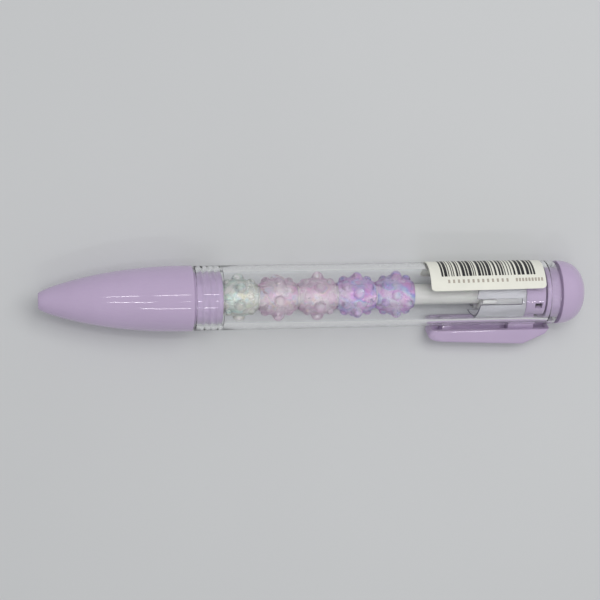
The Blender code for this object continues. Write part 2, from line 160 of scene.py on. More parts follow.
BUMPS_ROUND = 6
BUMP_ROW_OFFSET = 3.3
BUMP_ROW_DROP = 1.4
CLIP_RIM = 10.5
CLIP_TOP_FREE = 14.4
CLIP_TOP_REAR = 15.55
CLIP_CHAMFER = 142.6
CLIP_HALF_WIDTH = 3.5
CLIP_WALL = 1.2
CLIP_FLOOR = 1.4
CLIP_EDGE_ROUNDING = 1.6
CLIP_SIDE_WEIGHT = 0.62
GRIP_TIP = 9.75
GRIP_HALF_WIDTH = 1.5
LUG = (138.0, 145.7)
LUG_TIP = 7.7
LUG_HALF_WIDTH = 1.4
NECK = (141.7, 145.3)
NECK_TIP = 5.7
NECK_HALF_WIDTH = 1.0
STICKER_GAP = 0.08
STICKER_THICKNESS = 0.1
STICKER_CORNER = 1.1
STICKER_LOW_ANGLE = math.radians(6.7)
STICKER_SKEW = math.radians(2.3)
STICKER_ARC = math.radians(133)

# ---------------------------------------------------------------- node helpers


class Shader:
    """A material under construction, with short calls for the nodes used here."""

    def __init__(self, name):
        self.material = bpy.data.materials.new(name)
        self.material.use_nodes = True
        self.tree = self.material.node_tree
        self.principled = self.tree.nodes["Principled BSDF"]
        self.output = self.tree.nodes["Material Output"]
        self.place = self.tree.nodes.new("ShaderNodeTexCoord").outputs["Object"]

    def node(self, kind, inputs=None, **settings):
        made = self.tree.nodes.new("ShaderNode" + kind)
        for key, value in settings.items():
            setattr(made, key, value)
        for key, value in (inputs or {}).items():
            if isinstance(value, bpy.types.NodeSocket):
                self.tree.links.new(value, made.inputs[key])
            else:
                made.inputs[key].default_value = value
        return made

    def link(self, source, target):
        self.tree.links.new(source, target)

    def noise(self, scale, detail=2.0, roughness=0.5):
        inputs = {"Vector": self.place, "Scale": scale, "Detail": detail, "Roughness": roughness}
        return self.node("TexNoise", inputs).outputs["Fac"]

    def remap(self, value, low, high, from_low=0.3, from_high=0.7):
        inputs = {"Value": value, "To Min": low, "To Max": high}
        inputs |= {"From Min": from_low, "From Max": from_high}
        return self.node("MapRange", inputs).outputs["Result"]

    def maths(self, operation, first, second=0.0):
        return self.node("Math", {0: first, 1: second}, operation=operation).outputs[0]

    def ramp(self, value, stops):
        made = self.node("ValToRGB", {"Fac": value})
        elements = made.color_ramp.elements
        while len(elements) < len(stops):
            elements.new(0.5)
        for element, (position, colour) in zip(elements, stops):
            element.position = position
            element.color = (*colour, 1)
        return made.outputs["Color"]

    def bump(self, height, strength, distance, normal=None):
        inputs = {"Height": height, "Strength": strength, "Distance": distance}
        if normal is not None:
            inputs["Normal"] = normal
        return self.node("Bump", inputs).outputs["Normal"]

    def set(self, **values):
        for key, value in values.items():
            socket = self.principled.inputs[key.replace("_", " ")]
            if isinstance(value, bpy.types.NodeSocket):
                self.link(value, socket)
            else:
                socket.default_value = (*value, 1) if isinstance(value, tuple) else value

    def lets_lamps_through(self, tint, surface):
        """Shadow rays pass the surface with a tint, so that what is inside is lit."""
        clear = self.node("BsdfTransparent", {"Color": (*tint, 1)}).outputs[0]
        shadow = self.node("LightPath").outputs["Is Shadow Ray"]
        mixed = self.node("MixShader", {0: shadow, 1: surface, 2: clear})
        self.link(mixed.outputs[0], self.output.inputs["Surface"])


def shade(colour, factor):
    return tuple(min(1.0, channel * factor) for channel in colour)


def moulded_plastic(name, colour, roughness=0.3, translucency=0.12, skin_depth=0.05):
    """Opaque moulded plastic: faint colour clouds, uneven gloss and a fine skin."""
    made = Shader(name)
    clouds = made.noise(90, 3)
    tint = made.ramp(clouds, [(0.3, shade(colour, 0.975)), (0.7, shade(colour, 1.02))])
    gloss = made.remap(made.noise(420, 4), roughness * 0.75, roughness * 1.35)
    skin = made.bump(made.noise(3200, 3), skin_depth, 0.000004)
    flow = made.bump(made.noise(110, 1), skin_depth, 0.00004, skin)
    made.set(Base_Color=tint, Roughness=gloss, Normal=flow, IOR=1.5)
    made.set(Subsurface_Weight=translucency, Subsurface_Scale=0.002)
    made.principled.inputs["Subsurface Radius"].default_value = (1.0, 0.8, 1.0)
    return made.material


def clear_plastic(name, colour, tint, roughness=0.015, index=1.49, clarity=1.0):
    """Clear moulded plastic: refraction, faint flow lines and a few soft scuffs."""
    made = Shader(name)
    gloss = made.remap(made.noise(260, 4), roughness, roughness + 0.035)
    flow = made.bump(made.noise(120, 1), 0.03, 0.00004)
    made.set(Base_Color=colour, Roughness=gloss, Normal=flow, IOR=index, Transmission_Weight=clarity)
    made.lets_lamps_through(tint, made.principled.outputs[0])
    return made.material


def iridescent_plastic(name, hues, body, rim, film_weight, shift):
    """Clear bead plastic under a pearly film: hues in patches, and the rim colour where it slopes away."""
    made = Shader(name)
    gloss = made.remap(made.noise(500, 3), 0.02, 0.09)
    skin = made.bump(made.noise(500, 2), 0.05, 0.00004)
    thickness = made.noise(190, 2.0, 0.55)
    slope = made.node("LayerWeight", {"Blend": 0.5}).outputs["Facing"]
    cycles = made.maths("MULTIPLY", thickness, 3.4)
    phase = made.maths("ADD", cycles, made.maths("MULTIPLY", slope, 0.9))
    phase = made.maths("FRACT", made.maths("ADD", phase, shift))
    count = len(hues)
    stops = [(index / count, hue) for index, hue in enumerate(hues)] + [(1.0, hues[0])]
    colour = made.ramp(phase, stops)
    patches = made.remap(made.noise(330, 2), film_weight * 0.2, film_weight * 1.6, 0.38, 0.62)
    tint = made.node("Mix", {0: patches, 6: (*body, 1), 7: colour}, data_type="RGBA").outputs[2]
    edge = made.remap(slope, 0.0, film_weight * 1.5, 0.35, 0.95)
    tint = made.node("Mix", {0: edge, 6: tint, 7: (*rim, 1)}, data_type="RGBA").outputs[2]
    milk = made.remap(made.noise(300, 2), BEAD_CLARITY - 0.1, BEAD_CLARITY + 0.1)
    made.set(Base_Color=tint, Roughness=gloss, Normal=skin, IOR=1.45, Transmission_Weight=milk)
    film_gloss = made.remap(made.noise(900, 2), 0.16, 0.28)
    film = made.node("BsdfGlossy", {"Color": colour, "Roughness": film_gloss, "Normal": skin}).outputs[0]
    layers = {0: BEAD_FILM_SHARE, 1: made.principled.outputs[0], 2: film}
    coated = made.node("MixShader", layers).outputs[0]
    made.lets_lamps_through(BEAD_SHADOW_TINT, coated)
    return made.material


def polished_steel(name):
    """Turned steel with fine rings across the axis."""
    made = Shader(name)
    gloss = made.remap(made.noise(1500, 3), 0.14, 0.3)
    rings = {"Vector": made.place, "Scale": 2500, "Distortion": 0.6}
    turned = made.node("TexWave", rings, bands_direction="X")
    made.set(Base_Color=(0.62, 0.62, 0.65), Metallic=1.0, Roughness=gloss)
    made.set(Normal=made.bump(turned.outputs["Fac"], 0.1, 0.00001))
    return made.material


def label_paper(name, colour, roughness=0.55):
    """Matt paper or print with a fibrous surface."""
    made = Shader(name)
    fibres = made.noise(1800, 4)
    tint = made.ramp(made.noise(260, 3), [(0.3, shade(colour, 0.97)), (0.7, shade(colour, 1.02))])
    made.set(Base_Color=tint, Roughness=made.remap(fibres, roughness - 0.08, roughness + 0.1))
    made.set(Normal=made.bump(fibres, 0.15, 0.00002))
    return made.material


LAVENDER = (0.57, 0.455, 0.655)
MATERIALS = {
    "lavender": moulded_plastic("lavender_plastic", LAVENDER, 0.065, 0.06, 0.03),
    "barrel": clear_plastic("clear_barrel", (0.985, 0.99, 0.995), (0.965, 0.965, 0.97)),
    "sleeve": clear_plastic("clear_sleeve", (0.86, 0.86, 0.90), (0.94, 0.94, 0.96), 0.22, 1.15, 0.55),
    # Dark, nearly opaque material for the sleeve's cut walls: painted shade standing in for the dark lines
    # where the clear plastic's edges refract
    "sleeve_painted_edge_shade": clear_plastic("sleeve_painted_edge_shade", (0.13, 0.12, 0.18), (0.80, 0.80, 0.84), 0.3, 1.3, 0.1),
    "refill": moulded_plastic("refill_tube", (0.80, 0.80, 0.77), 0.35, 0.2),
    "white": moulded_plastic("white_plastic", (0.78, 0.78, 0.77), 0.35, 0.1),
    "ink": moulded_plastic("gel_ink", (0.012, 0.012, 0.018), 0.2, 0.0),
    "follower": moulded_plastic("follower_grease", (0.75, 0.66, 0.40), 0.15, 0.4),
    "steel": polished_steel("steel"),
    "paper": label_paper("label_paper", (0.92, 0.92, 0.83)),
    "print": label_paper("label_print", (0.02, 0.02, 0.024), 0.5),
    "faint_print": label_paper("faint_print", (0.50, 0.45, 0.39), 0.5),
}
PEARL_HUES = [(1.0, 0.96, 0.84), (0.70, 1.0, 0.84), (0.66, 0.94, 1.0), (0.96, 0.96, 1.0),
              (1.0, 1.0, 0.72), (1.0, 0.88, 0.92), (1.0, 1.0, 1.0)]
PINK_HUES = [(1.0, 0.70, 0.90), (0.98, 0.88, 1.0), (1.0, 0.52, 0.84), (0.66, 0.80, 1.0),
             (1.0, 0.84, 0.70), (0.95, 0.62, 0.95), (1.0, 0.96, 1.0)]
VIOLET_HUES = [(0.96, 0.42, 0.90), (0.70, 0.50, 1.0), (0.42, 0.50, 1.0), (0.62, 0.90, 1.0),
               (0.94, 0.80, 1.0), (0.90, 0.36, 0.96), (1.0, 0.80, 0.97)]
BEAD_CLARITY = 0.72
BEAD_FILM_SHARE = 0.14
BEAD_SHADOW_TINT = (0.95, 0.94, 0.96)
PEARL_RIM = (0.90, 0.95, 0.86)
PINK_RIM = (1.0, 0.46, 0.84)
VIOLET_RIM = (0.80, 0.30, 1.0)
BEAD_MATERIALS = [
    iridescent_plastic("bead_pearl_1", PEARL_HUES, (0.98, 0.99, 0.97), PEARL_RIM, 0.45, 0.35),
    iridescent_plastic("bead_pearl_2", PINK_HUES, (0.99, 0.97, 0.98), PINK_RIM, 0.50, 0.80),
    iridescent_plastic("bead_pearl_3", PINK_HUES, (0.98, 0.96, 0.98), PINK_RIM, 0.52, 0.10),
    iridescent_plastic("bead_violet_4", VIOLET_HUES, (0.97, 0.92, 0.99), VIOLET_RIM, 0.55, 0.20),
    iridescent_plastic("bead_violet_5", VIOLET_HUES, (0.96, 0.92, 0.99), VIOLET_RIM, 0.55, 0.55),
]

# ---------------------------------------------------------------- mesh helpers


def rounded(points, closed=True, steps=4):
    """The outline with each third value of a point taken as the radius of an arc at that corner."""
    outline = []
    count = len(points)
    for index, point in enumerate(points):
        corner = Vector(point[:2])
        radius = point[2] if len(point) > 2 else 0
        inner = closed or 0 < index < count - 1
        if not radius or not inner:
            outline.append(tuple(corner))
            continue
        before = Vector(points[index - 1][:2]) - corner
        after = Vector(points[(index + 1) % count][:2]) - corner
        half = before.angle(after) / 2
        reach = min(radius / math.tan(half), 0.49 * before.length, 0.49 * after.length)
        start = corner + before.normalized() * reach
        end = corner + after.normalized() * reach
        inward = (before.normalized() + after.normalized()).normalized()
        centre = corner + inward * (reach / math.cos(half))
        first, last = start - centre, end - centre
        turn = math.atan2(first.x * last.y - first.y * last.x, first.dot(last))
        for step in range(steps + 1):
            outline.append(tuple(centre + Matrix.Rotation(turn * step / steps, 2) @ first))
    return outline


def densified(outline, longest, closed=True):
    """The outline with long stretches cut into pieces no longer than this."""
    dense = []
    count = len(outline)
    for index in range(count if closed else count - 1):
        start, end = Vector(outline[index]), Vector(outline[(index + 1) % count])
        pieces = max(1, math.ceil((end - start).length / longest))
        dense += [tuple(start.lerp(end, piece / pieces)) for piece in range(pieces)]
    if not closed:
        dense.append(outline[-1])
    return dense


def to_object(name, mesh, finish, angle=35):
    """An object of the mesh in the row frame, shaded smooth with edges sharper than the angle kept."""
    mesh.transform(PEN)
    made = bpy.data.objects.new(name, mesh)
    bpy.context.scene.collection.objects.link(made)
    mesh.materials.clear()
    for material in finish if isinstance(finish, list) else [finish]:
        mesh.materials.append(material)
    mesh.shade_smooth()
    mesh.set_sharp_from_angle(angle=math.radians(angle))
    return made


def mesh_of(solid, name):
    """The finished mesh of a closed bmesh, with its doubles merged and its normals outward."""
    bmesh.ops.remove_doubles(solid, verts=solid.verts, dist=0.0005)
    bmesh.ops.recalc_face_normals(solid, faces=solid.faces)
    mesh = bpy.data.meshes.new(name)
    solid.to_mesh(mesh)
    solid.free()
    return mesh


def lathe(name, outline, segments=128, radius_at=None):
    """A closed mesh turned about the pen's axis. radius_at(x, radius, angle) can shape the surface."""
    solid = bmesh.new()
    rings = []
    for index in range(segments):
        angle = 2 * math.pi * index / segments
        ring = []
        for x, radius in outline:
            if radius_at:
                radius = radius_at(x, radius, angle)
            ring.append(solid.verts.new((x, radius * math.cos(angle), radius * math.sin(angle))))
        rings.append(ring)
    for ring, following in zip(rings, rings[1:] + rings[:1]):
        for i in range(len(ring)):
            j = (i + 1) % len(ring)
            corners = []
            for corner in (ring[i], ring[j], following[j], following[i]):
                on_axis = abs(corner.co.y) < 1e-9 and abs(corner.co.z) < 1e-9
                if not (on_axis and any((corner.co - c.co).length < 1e-9 for c in corners)):
                    corners.append(corner)
            if len(corners) > 2:
                solid.faces.new(corners)
    return mesh_of(solid, name)


def clip_angle(world_angle):
    """An angle from world up towards the clip's side, as an angle from the clip towards +z."""
    return math.pi / 2 + ROLL - world_angle


def box_mesh(x, y, z, turn=0.0):
    """A box between the (low, high) limits of each axis, turned about the pen's axis."""
    solid = bmesh.new()
    bmesh.ops.create_cube(solid, size=1)
    for vertex in solid.verts:
        ends = zip(vertex.co, (x, y, z))
        vertex.co = [low + (high - low) * (side + 0.5) for side, (low, high) in ends]
    mesh = mesh_of(solid, "box")
    mesh.transform(Matrix.Rotation(-turn, 4, "X"))
    return mesh


def prism(outline, half_width):
    """The outline's (x, height) points made solid across the clip's width. Heights run along -y."""
    solid = bmesh.new()
    corners = [solid.verts.new((x, -height, -half_width)) for x, height in outline]
    face = solid.faces.new(corners)
    swept = bmesh.ops.extrude_face_region(solid, geom=[face])
    moved = [item for item in swept["geom"] if isinstance(item, bmesh.types.BMVert)]
    bmesh.ops.translate(solid, verts=moved, vec=(0, 0, 2 * half_width))
    return mesh_of(solid, "prism")


def evaluated_mesh(helper):
    """The helper's mesh with its modifiers applied. The helper itself goes."""
    bpy.context.view_layer.update()
    graph = bpy.context.evaluated_depsgraph_get()
    result = bpy.data.meshes.new_from_object(helper.evaluated_get(graph))
    bpy.data.objects.remove(helper)
    return result


def combined(mesh, others):
    """The mesh after cutting each ("DIFFERENCE", mesh) and joining each ("UNION", mesh)."""
    scene = bpy.context.scene
    body = bpy.data.objects.new("body", mesh)
    scene.collection.objects.link(body)
    helpers = []
    for operation, other in others:
        helper = bpy.data.objects.new("helper", other)
        scene.collection.objects.link(helper)
        helpers.append(helper)
        modifier = body.modifiers.new("Boolean", "BOOLEAN")
        modifier.operation = operation
        modifier.object = helper
    result = evaluated_mesh(body)
    for helper in helpers:
        bpy.data.objects.remove(helper)
    return result


def bevelled(mesh, width, segments=3, angle=40):
    """The mesh with every edge sharper than the angle rounded."""
    body = bpy.data.objects.new("body", mesh)
    bpy.context.scene.collection.objects.link(body)
    modifier = body.modifiers.new("Bevel", "BEVEL")
    modifier.width = width
    modifier.segments = segments
    modifier.limit_method = "ANGLE"
    modifier.angle_limit = math.radians(angle)
    return evaluated_mesh(body)


def attach(piece, body, slot, *nodes):
    """The piece rides on the body and stands for the CAD nodes, which it hides. The slot is not used."""
    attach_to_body(piece, body)
    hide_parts(*nodes)


# ---------------------------------------------------------------- nose


def nose_radius(x):
    """The ogive's radius, from the blunt tip to the full width at the end of its curve."""
    rise = 1 - (1 - x / NOSE_CURVE_LENGTH) ** 2
    return NOSE_TIP_RADIUS + (NOSE_RADIUS - NOSE_TIP_RADIUS) * rise**NOSE_CURVE_POWER


def thread_height(x, angle, start, end):
    """How far the thread's blunt ridge rises at this place, from 0 to 1, fading at both ends."""
    phase = (x - start) / THREAD_PITCH - angle / (2 * math.pi)
    ridge = abs(phase - math.floor(phase) - 0.5) * 2
    fade = min(1, max(0, (x - start) / THREAD_FADE), max(0, (end - x) / THREAD_FADE))
    return fade * (0.5 + 0.5 * math.cos(math.pi * min(1, ridge * 1.1)))


def build_nose():
    spigot_end = span("nose_cone")[1]
    curve = [NOSE_CURVE_LENGTH * (step / 36) ** 1.5 for step in range(1, 37)]
    funnel = (4.6, 2.4)
    outline = rounded([funnel, (3.2, NOSE_TIP_BORE), (0.0, NOSE_TIP_BORE, 0.12),
                       (0.0, NOSE_TIP_RADIUS, 0.35), (curve[3], nose_radius(curve[3]))], closed=False)
    outline += [(x, nose_radius(x)) for x in curve[4:]]
    outline += rounded([(NOSE_CURVE_LENGTH, NOSE_RADIUS), (NOSE_SHOULDER, NOSE_RADIUS, 0.3),
                        (NOSE_SHOULDER, SPIGOT_RADIUS, 0.15), (spigot_end, SPIGOT_RADIUS, 0.3),
                        (spigot_end, NOSE_CAVITY, 0.2), (30.0, NOSE_CAVITY),
                        (21.0, NOSE_REFILL_BORE), (SPRING_SEAT, NOSE_REFILL_BORE),
                        (SPRING_SEAT, funnel[1]), funnel], closed=False)[1:-1]
    outline = with_thread_stations(densified(outline, 1.6), spigot_end)

    def shaped(x, radius, angle):
        if abs(radius - SPIGOT_RADIUS) < 0.01:
            return radius + THREAD_DEPTH * thread_height(x, angle, THREAD_START, spigot_end - 0.2)
        return radius

    mesh = lathe("nose_shell", outline, 144, shaped)
    nose = to_object("nose_shell", mesh, MATERIALS["lavender"])
    attach(nose, "nose", "lavender_plastic", "nose_cone")


def with_thread_stations(outline, spigot_end):
    """The outline with close stations along its threaded stretch, and its own everywhere else."""
    fine = []
    for start, end in zip(outline, outline[1:] + outline[:1]):
        inside = THREAD_START - 0.3 < start[0] < spigot_end - 0.2
        level = abs(start[1] - end[1]) < 0.01
        on_thread = any(abs(start[1] - radius) < 0.01 for radius in (SPIGOT_RADIUS, SOCKET_RADIUS))
        pieces = 1
        if inside and level and on_thread:
            pieces = max(1, math.ceil(abs(end[0] - start[0]) / THREAD_STATION))
        fine += [tuple(Vector(start).lerp(Vector(end), piece / pieces)) for piece in range(pieces)]
    return fine


# ---------------------------------------------------------------- barrel


def build_barrel():
    front, rear = span("barrel")
    thread_end = span("nose_cone")[1]
    socket_end = thread_end + 0.3
    outline = rounded([(front, SOCKET_RADIUS, 0.08), (front, BARREL_RADIUS, 0.2),
                       (rear, BARREL_RADIUS, 0.25), (rear, STEP_RADIUS, 0.08),
                       (STEP_START, STEP_RADIUS, 0.08), (STEP_START, BORE_RADIUS, 0.08),
                       (socket_end, BORE_RADIUS, 0.1), (socket_end, SOCKET_RADIUS, 0.08),
                       (THREAD_START - 0.3, SOCKET_RADIUS)])
    outline = with_thread_stations(densified(outline, 6.0), thread_end + 0.6)

    def shaped(x, radius, angle):
        if abs(radius - SOCKET_RADIUS) < 0.01:
            return radius + SOCKET_THREAD_DEPTH * thread_height(x, angle, THREAD_START, thread_end)
        return radius

    mesh = lathe("barrel_tube", outline, 144, shaped)
    width = (-BARREL_SLOT_HALF_WIDTH, BARREL_SLOT_HALF_WIDTH)
    slot = box_mesh(BARREL_SLOT, (-BARREL_RADIUS - 1, -6), width)
    mesh = combined(mesh, [("DIFFERENCE", slot)])
    barrel = to_object("barrel_tube", mesh, MATERIALS["barrel"], 30)
    attach(barrel, "barrel_body", "clear_plastic", "barrel")


def build_end_plug():
    front, end = span("end_plug")
    base = span("barrel")[1] + END_GROOVE
    height = end - base
    outline = rounded([(front, PLUG_BORE), (front, PLUG_SPIGOT_RADIUS, 0.25),
                       (base, PLUG_SPIGOT_RADIUS, 0.05), (base, BARREL_RADIUS, 0.15),
                       (base + 0.8, BARREL_RADIUS)], closed=False)
    for step in range(1, 40):
        turn = math.pi / 2 * step / 40
        x = base + height * math.sin(turn) ** (2 / DOME_POWER)
        if x > base + 0.9:
            outline.append((x, BARREL_RADIUS * math.cos(turn) ** (2 / DOME_POWER)))
    hollow = [(end - 1.6, 0), (end - 1.9, 4.6), (end - 4.5, 6.6), (base + 0.5, PLUG_BORE)]
    outline += [(end, 0)] + hollow
    mesh = lathe("dome", outline, 128)
    dome = to_object("end_dome", mesh, MATERIALS["lavender"])
    attach(dome, "barrel_body", "lavender_plastic", "end_plug")


# ---------------------------------------------------------------- click mechanism


def outward_share(polygon):
    """How far the face points away from the pen's axis, from -1 to 1."""
    away = Vector((0, polygon.center.y, polygon.center.z)).normalized()
    return polygon.normal.dot(away)


def slot_angles():
    """Where the middle of each of the sleeve's slots is, as angles from world up."""
    first = TOOTH_STEP_ANGLE + SLOT_WIDTH / 2 / SLEEVE_RADIUS
    return [first + index * 2 * math.pi / SLEEVE_SLOTS for index in range(SLEEVE_SLOTS)]


def build_cam_sleeve():
    front, rear = span("cam_sleeve")
    outline = rounded([(front, SLEEVE_BORE), (front, SLEEVE_RADIUS),
                       (rear, SLEEVE_RADIUS, 0.1), (rear, SLEEVE_BORE, 0.1)])
    mesh = lathe("cam_sleeve", densified(outline, 2.0), 144)
    pitch = 2 * math.pi / TEETH
    for vertex in mesh.vertices:
        world_angle = clip_angle(0) - math.atan2(vertex.co.z, -vertex.co.y)
        share = ((world_angle - TOOTH_STEP_ANGLE) / pitch) % 1
        reach = max(0.0, 1 - (vertex.co.x - front) / TOOTH_BLEND_LENGTH)
        vertex.co.x += TOOTH_DEPTH * (1 - share) * reach
    cuts = []
    half = SLOT_WIDTH / 2
    through_wall = (-SLEEVE_RADIUS - 1, -5.5)
    for middle in slot_angles():
        slot = box_mesh((front - 1, SLOT_END), through_wall, (-half, half), clip_angle(middle))
        cuts.append(("DIFFERENCE", slot))
    width = (-CUTAWAY_HALF_WIDTH, CUTAWAY_HALF_WIDTH)
    cuts.append(("DIFFERENCE", box_mesh((CUTAWAY_START, rear + 1), (-9, -5), width)))
    mesh = combined(mesh, cuts)
    # The cut walls take the dark second material: painted shade for the dark refraction lines at the clear
    # sleeve's edges
    painted_shade_walls = [abs(outward_share(polygon)) < 0.6 for polygon in mesh.polygons]
    sleeve = to_object("cam_sleeve_clear", mesh, [MATERIALS["sleeve"], MATERIALS["sleeve_painted_edge_shade"]], 30)
    for polygon, wall in zip(sleeve.data.polygons, painted_shade_walls):
        polygon.material_index = int(wall)
    attach(sleeve, "barrel_body", "sleeve_plastic", "cam_sleeve")


def build_cam_rotor():
    front, rear = span("cam_rotor")
    tube_rear = span("refill_tube")[1]
    pocket, pocket_end = REFILL_RADIUS + 0.3, tube_rear + 0.3
    outline = rounded([(front, pocket), (front, ROTOR_RADIUS, 0.25), (rear, ROTOR_RADIUS, 0.4),
                       (rear, ROTOR_BORE, 0.1), (pocket_end, ROTOR_BORE), (pocket_end, pocket)])
    mesh = lathe("cam_rotor", densified(outline, 3.0), 96)
    ribs = []
    width = (-RIB_HALF_WIDTH, RIB_HALF_WIDTH)
    for middle in slot_angles():
        rib = box_mesh((front, RIB_END), RIB_REACH, width, clip_angle(middle))
        ribs.append(("UNION", rib))
    mesh = bevelled(combined(mesh, ribs), 0.08, 2)
    rotor = to_object("cam_rotor_white", mesh, MATERIALS["white"])
    attach(rotor, "refill", "white_plastic", "cam_rotor")


def build_thruster():
    front, rear = span("thruster")
    web_rear = front + THRUSTER_WEB
    outline = rounded([(front, THRUSTER_BORE, 0.1), (front, THRUSTER_RADIUS, 0.3),
                       (rear, THRUSTER_RADIUS, 0.25), (rear, THRUSTER_POCKET, 0.15),
                       (web_rear, THRUSTER_POCKET), (web_rear, THRUSTER_BORE, 0.1)])
    mesh = lathe("thruster", densified(outline, 3.0), 128)
    through_wall = (-8, -4.5)
    socket_width = (-THRUSTER_SOCKET_HALF_WIDTH, THRUSTER_SOCKET_HALF_WIDTH)
    socket = box_mesh((front + 0.3, rear + 1), through_wall, socket_width)
    window_width = (-WINDOW_HALF_WIDTH, WINDOW_HALF_WIDTH)
    window = box_mesh(WINDOW, through_wall, window_width, clip_angle(WINDOW_ANGLE))
    mesh = combined(mesh, [("DIFFERENCE", socket), ("DIFFERENCE", window)])
    thruster = to_object("thruster_ring", mesh, MATERIALS["lavender"], 30)
    attach(thruster, "clip_carriage", "lavender_plastic", "thruster")


# ---------------------------------------------------------------- refill and tip


def build_refill():
    front, rear = span("refill_tube")
    tube = rounded([(front, REFILL_BORE, 0.1), (front, REFILL_RADIUS, 0.15),
                    (rear, REFILL_RADIUS, 0.15), (rear, REFILL_BORE, 0.1)])
    tube = to_object("refill_barrel", lathe("refill", densified(tube, 8.0), 64), MATERIALS["refill"])
    attach(tube, "refill", "cream_tube", "refill_tube")
    ink_front, ink_rear = span("gel_ink")
    ink = rounded([(ink_front, 0), (ink_front, INK_RADIUS, 0.4),
                   (ink_rear, INK_RADIUS, 0.15), (ink_rear, 0)])
    ink = to_object("ink_column", lathe("ink", ink, 48), MATERIALS["ink"])
    attach(ink, "refill", "ink", "gel_ink")
    low, high = span("ink_follower")
    plug = rounded([(low, 0), (low, INK_RADIUS, 0.5), (high, INK_RADIUS, 0.7), (high, 0)])
    plug = to_object("follower_column", lathe("follower", plug, 48), MATERIALS["follower"])
    attach(plug, "refill", "follower_grease", "ink_follower")


def build_tip():
    front, rear = span("tip_holder")
    flange = span("refill_tube")[0] - 0.3
    outline = rounded([(front, 1.3), (front, 1.7, 0.1), (14.0, 1.95, 0.5), (flange - 0.8, 1.95, 0.1),
                       (flange - 0.8, 2.95, 0.1), (flange, 2.95, 0.1), (flange, 1.9),
                       (rear, 1.9, 0.1), (rear, 0.6), (15.6, 0.6), (15.6, 1.3)])
    holder = to_object("tip_holder_white", lathe("holder", outline, 64), MATERIALS["white"])
    attach(holder, "refill", "white_plastic", "tip_holder")
    lip, cone_rear = span("tip_cone")
    shoulder = front - 0.3
    outline = rounded([(lip, 0.4), (lip, 0.5, 0.04), (5.6, 1.15, 0.6), (shoulder, 1.15, 0.05),
                       (shoulder, 1.0), (cone_rear, 1.0, 0.1), (cone_rear, 0.2),
                       (2.25, 0.2), (2.25, 0.4)])
    cone = to_object("tip_cone_steel", lathe("tip", outline, 64), MATERIALS["steel"])
    attach(cone, "refill", "steel", "tip_cone")
    low, high = span("writing_ball")
    radius = (high - low) / 2
    outline = []
    for step in range(17):
        turn = math.pi * step / 16
        outline.append((low + radius - radius * math.cos(turn), radius * math.sin(turn)))
    ball = to_object("ball_steel", lathe("ball", outline, 32), MATERIALS["steel"])
    attach(ball, "ball", "steel", "writing_ball")


def build_spring():
    front, rear = span("return_spring")
    turns, per_turn, around = 9, 40, 12
    wire = SPRING_WIRE_RADIUS
    low, high = front + wire, rear - wire
    solid = bmesh.new()
    rings = []
    for index in range(turns * per_turn + 1):
        turn = index / per_turn
        share = min(max((turn - 1) / (turns - 2), 0), 1)
        ends = (min(turn, 1) + max(turn - turns + 1, 0)) * 2.2 * wire
        x = low + ends + share * (high - low - 4.4 * wire)
        angle = 2 * math.pi * turn
        out = Vector((0, math.cos(angle), math.sin(angle)))
        centre = Vector((x, 0, 0)) + out * SPRING_COIL_RADIUS
        ring = []
        for side in range(around):
            swing = 2 * math.pi * side / around
            spoke = out * math.cos(swing) + Vector((math.sin(swing), 0, 0))
            ring.append(solid.verts.new(centre + wire * spoke))
        rings.append(ring)
    for ring, following in zip(rings, rings[1:]):
        for i in range(around):
            j = (i + 1) % around
            solid.faces.new((ring[i], ring[j], following[j], following[i]))
    solid.faces.new(rings[0])
    solid.faces.new(list(reversed(rings[-1])))
    spring = to_object("spring_coil", mesh_of(solid, "spring"), MATERIALS["steel"], 60)
    attach(spring, "nose", "steel", "return_spring")
    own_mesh(spring)


# ---------------------------------------------------------------- beads


def bead_radius(offset):
    """The smooth body's radius at this distance along the pen from the bead's middle."""
    return BEAD_RIM + (BEAD_BODY - BEAD_RIM) * (1 - (offset / BEAD_HALF_LENGTH) ** 2)


def bumps_of_bead(draw):
    """The (offset, angle, top radius, bump radius) of each bump of a bead.

    There is a middle row, and a lower and smaller staggered row on each side of it.
    """
    pitch = 2 * math.pi / BUMPS_ROUND
    rows = ((0, 0.0, 0.0, 1.0), (-1, 0.5, BUMP_ROW_DROP, 0.8), (1, 0.5, BUMP_ROW_DROP, 0.8))
    bumps = []
    for index in range(BUMPS_ROUND):
        for side, stagger, drop, share in rows:
            offset = side * BUMP_ROW_OFFSET
            offset += draw.uniform(-0.25, 0.25)
            angle = (index + stagger + draw.uniform(-0.09, 0.09)) * pitch
            top = BUMP_TOP - drop + draw.uniform(-0.15, 0.1)
            bumps.append((offset, angle, top, share * BUMP_RADIUS * draw.uniform(0.88, 1.04)))
    return bumps


def bumpy_radius(bumps, offset, angle):
    """The bead's radius there: its body, or the bump over it where that stands higher."""
    radius = bead_radius(offset)
    for centre, direction, top, size in bumps:
        turn = (angle - direction + math.pi) % (2 * math.pi) - math.pi
        distance = math.hypot(offset - centre, turn * (top - size / 2))
        if distance < size:
            height = math.sqrt(size**2 - distance**2)
            radius = max(radius, top - size + height)
    return radius


